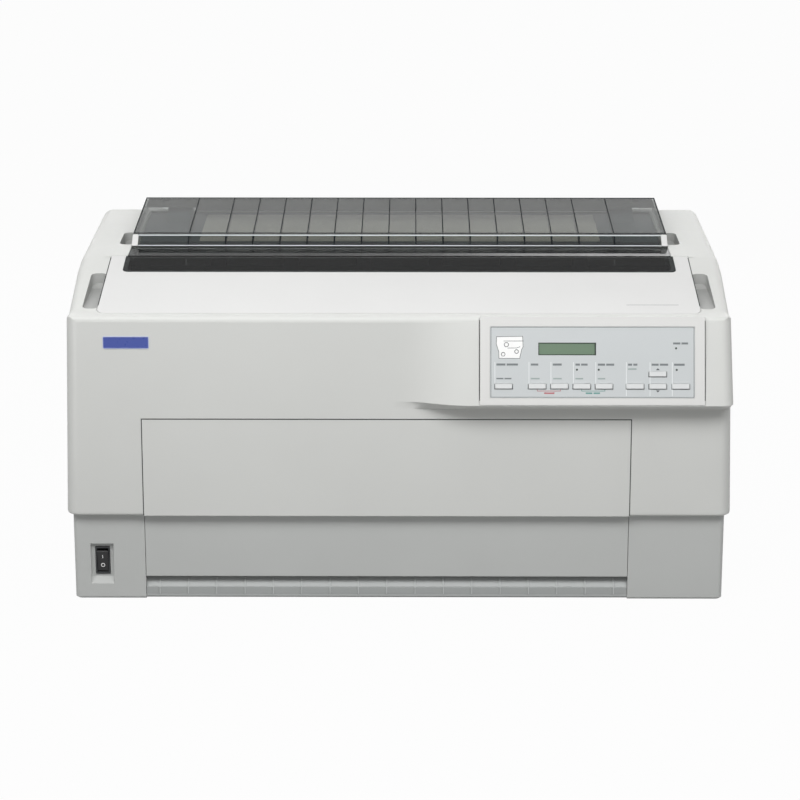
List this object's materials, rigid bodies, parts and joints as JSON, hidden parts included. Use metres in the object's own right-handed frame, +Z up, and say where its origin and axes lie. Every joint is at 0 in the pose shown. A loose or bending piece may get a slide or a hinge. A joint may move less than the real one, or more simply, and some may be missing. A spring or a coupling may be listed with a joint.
{
  "type": "dot matrix printer",
  "caption": "Wide-carriage impact printer with hinged printer, eject, front and rear covers, tilted control panel, tractors, platen and moving print head.",
  "frame": {"origin": "centre of the footprint, on the surface the feet stand on", "axes": "+X to the right seen from the front, +Y to the rear, +Z up"},
  "size_m": [0.6998, 0.3816, 0.377],
  "materials": {
    "cover_plastic": "satin",
    "housing_plastic": "satin",
    "base_plastic": "satin",
    "guide_plastic": "satin",
    "smoke_plastic": "polished",
    "overlay_film": "satin",
    "display_glass": "polished",
    "button_plastic": "satin",
    "black_plastic": "satin",
    "dark_plastic": "satin",
    "deck_plastic": "satin",
    "tractor_plastic": "satin",
    "lid_plastic": "satin",
    "gear_plastic": "satin",
    "foot_rubber": "matte",
    "roller_rubber": "matte",
    "frame_steel": "zinc plated",
    "rod_steel": "ground",
    "motor_metal": "satin",
    "brass": "machined",
    "head_aluminium": "cast",
    "board_laminate": "satin",
    "port_metal": "plated",
    "ribbon_fabric": "inked"
  },
  "bodies": {
    "printer": {"base_case": "base_plastic", "front_paper_guide": "guide_plastic", "rubber_feet": "foot_rubber", "upper_housing": "housing_plastic", "control_panel": "housing_plastic", "panel_overlay": "overlay_film", "display_window": "display_glass", "panel_board": "board_laminate", "power_switch_body": "black_plastic", "power_inlet": "black_plastic", "interface_ports": "port_metal", "side_frames": "frame_steel", "guide_rods": "rod_steel", "eject_deck": "deck_plastic", "ribbon_cartridge": "dark_plastic", "ribbon": "ribbon_fabric", "carriage_belt": "roller_rubber", "carriage_motor": "motor_metal", "feed_motor": "motor_metal", "circuit_board": "board_laminate", "power_supply": "frame_steel", "fan_housing": "dark_plastic"},
    "top_cover": {"top_cover": "cover_plastic", "top_cover_window": "smoke_plastic"},
    "eject_cover": {"eject_cover": "smoke_plastic"},
    "front_cover": {"front_cover": "housing_plastic"},
    "rear_cover": {"rear_cover": "housing_plastic"},
    "power_rocker": {"power_rocker": "black_plastic"},
    "tractor_select_button": {"tractor_select_button": "button_plastic"},
    "pitch_button": {"pitch_button": "button_plastic"},
    "font_button": {"font_button": "button_plastic"},
    "form_feed_button": {"form_feed_button": "button_plastic"},
    "tear_off_button": {"tear_off_button": "button_plastic"},
    "line_feed_button": {"line_feed_button": "button_plastic"},
    "feed_up_button": {"feed_up_button": "button_plastic"},
    "feed_down_button": {"feed_down_button": "button_plastic"},
    "pause_button": {"pause_button": "button_plastic"},
    "platen": {"platen": "roller_rubber", "platen_gear": "gear_plastic"},
    "feed_pinion": {"feed_pinion": "brass"},
    "carriage": {"carriage": "dark_plastic", "print_head": "head_aluminium"},
    "drive_pulley": {"drive_pulley": "rod_steel"},
    "idler_pulley": {"idler_pulley": "rod_steel"},
    "eject_rollers": {"eject_rollers": "roller_rubber"},
    "front_tractor_shaft": {"front_tractor_shaft": "rod_steel"},
    "rear_tractor_shaft": {"rear_tractor_shaft": "rod_steel"},
    "fan_rotor": {"fan_rotor": "dark_plastic"},
    "front_left_tractor": {"front_left_tractor": "tractor_plastic"},
    "front_left_lid": {"front_left_lid": "lid_plastic"},
    "front_left_sprocket": {"front_left_sprocket": "gear_plastic"},
    "front_right_tractor": {"front_right_tractor": "tractor_plastic"},
    "front_right_lid": {"front_right_lid": "lid_plastic"},
    "front_right_sprocket": {"front_right_sprocket": "gear_plastic"},
    "rear_left_tractor": {"rear_left_tractor": "tractor_plastic"},
    "rear_left_lid": {"rear_left_lid": "lid_plastic"},
    "rear_left_sprocket": {"rear_left_sprocket": "gear_plastic"},
    "rear_right_tractor": {"rear_right_tractor": "tractor_plastic"},
    "rear_right_lid": {"rear_right_lid": "lid_plastic"},
    "rear_right_sprocket": {"rear_right_sprocket": "gear_plastic"}
  },
  "joints": [
    {"name": "top_cover_hinge", "type": "hinge", "parent": "printer", "child": "top_cover", "pos_m": [0, -0.016, 0.3399], "axis": [-1, 0, 0], "range_deg": [0, 75]},
    {"name": "eject_cover_hinge", "type": "hinge", "parent": "printer", "child": "eject_cover", "pos_m": [0, 0.166, 0.36757], "axis": [-1, 0, 0], "range_deg": [0, 78]},
    {"name": "front_cover_hinge", "type": "hinge", "parent": "printer", "child": "front_cover", "pos_m": [0, -0.161, 0.029], "axis": [1, 0, 0], "range_deg": [0, 80]},
    {"name": "rear_cover_hinge", "type": "hinge", "parent": "printer", "child": "rear_cover", "pos_m": [0, 0.189, 0.1106], "axis": [-1, 0, 0], "range_deg": [0, 80]},
    {"name": "power_rocker_hinge", "type": "hinge", "parent": "printer", "child": "power_rocker", "pos_m": [-0.3125, -0.1545, 0.0425], "axis": [-1, 0, 0], "range_deg": [0, 18]},
    {"name": "tractor_select_press", "type": "slide", "parent": "printer", "child": "tractor_select_button", "axis": [0, 0.9677, -0.2521], "range_m": [0, 0.001], "stiffness_N_per_m": 300, "springref_m": -0.0005},
    {"name": "pitch_press", "type": "slide", "parent": "printer", "child": "pitch_button", "axis": [0, 0.9677, -0.2521], "range_m": [0, 0.001], "stiffness_N_per_m": 300, "springref_m": -0.0005},
    {"name": "font_press", "type": "slide", "parent": "printer", "child": "font_button", "axis": [0, 0.9677, -0.2521], "range_m": [0, 0.001], "stiffness_N_per_m": 300, "springref_m": -0.0005},
    {"name": "form_feed_press", "type": "slide", "parent": "printer", "child": "form_feed_button", "axis": [0, 0.9677, -0.2521], "range_m": [0, 0.001], "stiffness_N_per_m": 300, "springref_m": -0.0005},
    {"name": "tear_off_press", "type": "slide", "parent": "printer", "child": "tear_off_button", "axis": [0, 0.9677, -0.2521], "range_m": [0, 0.001], "stiffness_N_per_m": 300, "springref_m": -0.0005},
    {"name": "line_feed_press", "type": "slide", "parent": "printer", "child": "line_feed_button", "axis": [0, 0.9677, -0.2521], "range_m": [0, 0.001], "stiffness_N_per_m": 300, "springref_m": -0.0005},
    {"name": "feed_up_press", "type": "slide", "parent": "printer", "child": "feed_up_button", "axis": [0, 0.9677, -0.2521], "range_m": [0, 0.001], "stiffness_N_per_m": 300, "springref_m": -0.0005},
    {"name": "feed_down_press", "type": "slide", "parent": "printer", "child": "feed_down_button", "axis": [0, 0.9677, -0.2521], "range_m": [0, 0.001], "stiffness_N_per_m": 300, "springref_m": -0.0005},
    {"name": "pause_press", "type": "slide", "parent": "printer", "child": "pause_button", "axis": [0, 0.9677, -0.2521], "range_m": [0, 0.001], "stiffness_N_per_m": 300, "springref_m": -0.0005},
    {"name": "platen_spin", "type": "hinge", "parent": "printer", "child": "platen", "pos_m": [0, 0.005, 0.262], "axis": [1, 0, 0], "continuous": true},
    {"name": "feed_pinion_spin", "type": "hinge", "parent": "printer", "child": "feed_pinion", "pos_m": [0, 0.005, 0.2198], "axis": [1, 0, 0], "continuous": true},
    {"name": "carriage_slide", "type": "slide", "parent": "printer", "child": "carriage", "axis": [1, 0, 0], "range_m": [-0.19, 0.19]},
    {"name": "drive_pulley_spin", "type": "hinge", "parent": "printer", "child": "drive_pulley", "pos_m": [-0.268, -0.09, 0.238], "axis": [0, 0, 1], "range_deg": [-1300, 1300]},
    {"name": "idler_pulley_spin", "type": "hinge", "parent": "printer", "child": "idler_pulley", "pos_m": [0.268, -0.09, 0.238], "axis": [0, 0, 1], "range_deg": [-1300, 1300]},
    {"name": "eject_rollers_spin", "type": "hinge", "parent": "printer", "child": "eject_rollers", "pos_m": [0, 0.033, 0.318], "axis": [1, 0, 0], "continuous": true},
    {"name": "front_tractor_shaft_spin", "type": "hinge", "parent": "printer", "child": "front_tractor_shaft", "pos_m": [0, -0.118, 0.155], "axis": [1, 0, 0], "continuous": true},
    {"name": "front_left_tractor_slide", "type": "slide", "parent": "printer", "child": "front_left_tractor", "axis": [1, 0, 0], "range_m": [0, 0.06]},
    {"name": "front_left_lid_hinge", "type": "hinge", "parent": "front_left_tractor", "child": "front_left_lid", "pos_m": [-0.2285, -0.136, 0.155], "axis": [0, 0, -1], "range_deg": [0, 100]},
    {"name": "front_left_sprocket_spin", "type": "hinge", "parent": "front_left_tractor", "child": "front_left_sprocket", "pos_m": [-0.215, -0.118, 0.155], "axis": [1, 0, 0], "continuous": true},
    {"name": "front_right_tractor_slide", "type": "slide", "parent": "printer", "child": "front_right_tractor", "axis": [1, 0, 0], "range_m": [-0.12, 0]},
    {"name": "front_right_lid_hinge", "type": "hinge", "parent": "front_right_tractor", "child": "front_right_lid", "pos_m": [0.2285, -0.136, 0.155], "axis": [0, 0, 1], "range_deg": [0, 100]},
    {"name": "front_right_sprocket_spin", "type": "hinge", "parent": "front_right_tractor", "child": "front_right_sprocket", "pos_m": [0.215, -0.118, 0.155], "axis": [1, 0, 0], "continuous": true},
    {"name": "rear_tractor_shaft_spin", "type": "hinge", "parent": "printer", "child": "rear_tractor_shaft", "pos_m": [0, 0.118, 0.19], "axis": [1, 0, 0], "continuous": true},
    {"name": "rear_left_tractor_slide", "type": "slide", "parent": "printer", "child": "rear_left_tractor", "axis": [1, 0, 0], "range_m": [0, 0.06]},
    {"name": "rear_left_lid_hinge", "type": "hinge", "parent": "rear_left_tractor", "child": "rear_left_lid", "pos_m": [-0.2285, 0.136, 0.19], "axis": [0, 0, 1], "range_deg": [0, 100]},
    {"name": "rear_left_sprocket_spin", "type": "hinge", "parent": "rear_left_tractor", "child": "rear_left_sprocket", "pos_m": [-0.215, 0.118, 0.19], "axis": [1, 0, 0], "continuous": true},
    {"name": "rear_right_tractor_slide", "type": "slide", "parent": "printer", "child": "rear_right_tractor", "axis": [1, 0, 0], "range_m": [-0.12, 0]},
    {"name": "rear_right_lid_hinge", "type": "hinge", "parent": "rear_right_tractor", "child": "rear_right_lid", "pos_m": [0.2285, 0.136, 0.19], "axis": [0, 0, -1], "range_deg": [0, 100]},
    {"name": "rear_right_sprocket_spin", "type": "hinge", "parent": "rear_right_tractor", "child": "rear_right_sprocket", "pos_m": [0.215, 0.118, 0.19], "axis": [1, 0, 0], "continuous": true},
    {"name": "fan_spin", "type": "hinge", "parent": "printer", "child": "fan_rotor", "pos_m": [-0.33049, 0.095, 0.16], "axis": [1, 0, 0], "continuous": true}
  ],
  "couplings": [
    {"joint": "feed_pinion_spin", "follows": "platen_spin", "ratio": -2.5},
    {"joint": "eject_rollers_spin", "follows": "platen_spin", "ratio": 1.4167},
    {"joint": "drive_pulley_spin", "follows": "carriage_slide", "rad_per_m": -111.11},
    {"joint": "idler_pulley_spin", "follows": "carriage_slide", "rad_per_m": -111.11},
    {"joint": "front_left_sprocket_spin", "follows": "front_tractor_shaft_spin", "ratio": 1},
    {"joint": "front_right_sprocket_spin", "follows": "front_tractor_shaft_spin", "ratio": 1},
    {"joint": "rear_left_sprocket_spin", "follows": "rear_tractor_shaft_spin", "ratio": 1},
    {"joint": "rear_right_sprocket_spin", "follows": "rear_tractor_shaft_spin", "ratio": 1}
  ]
}
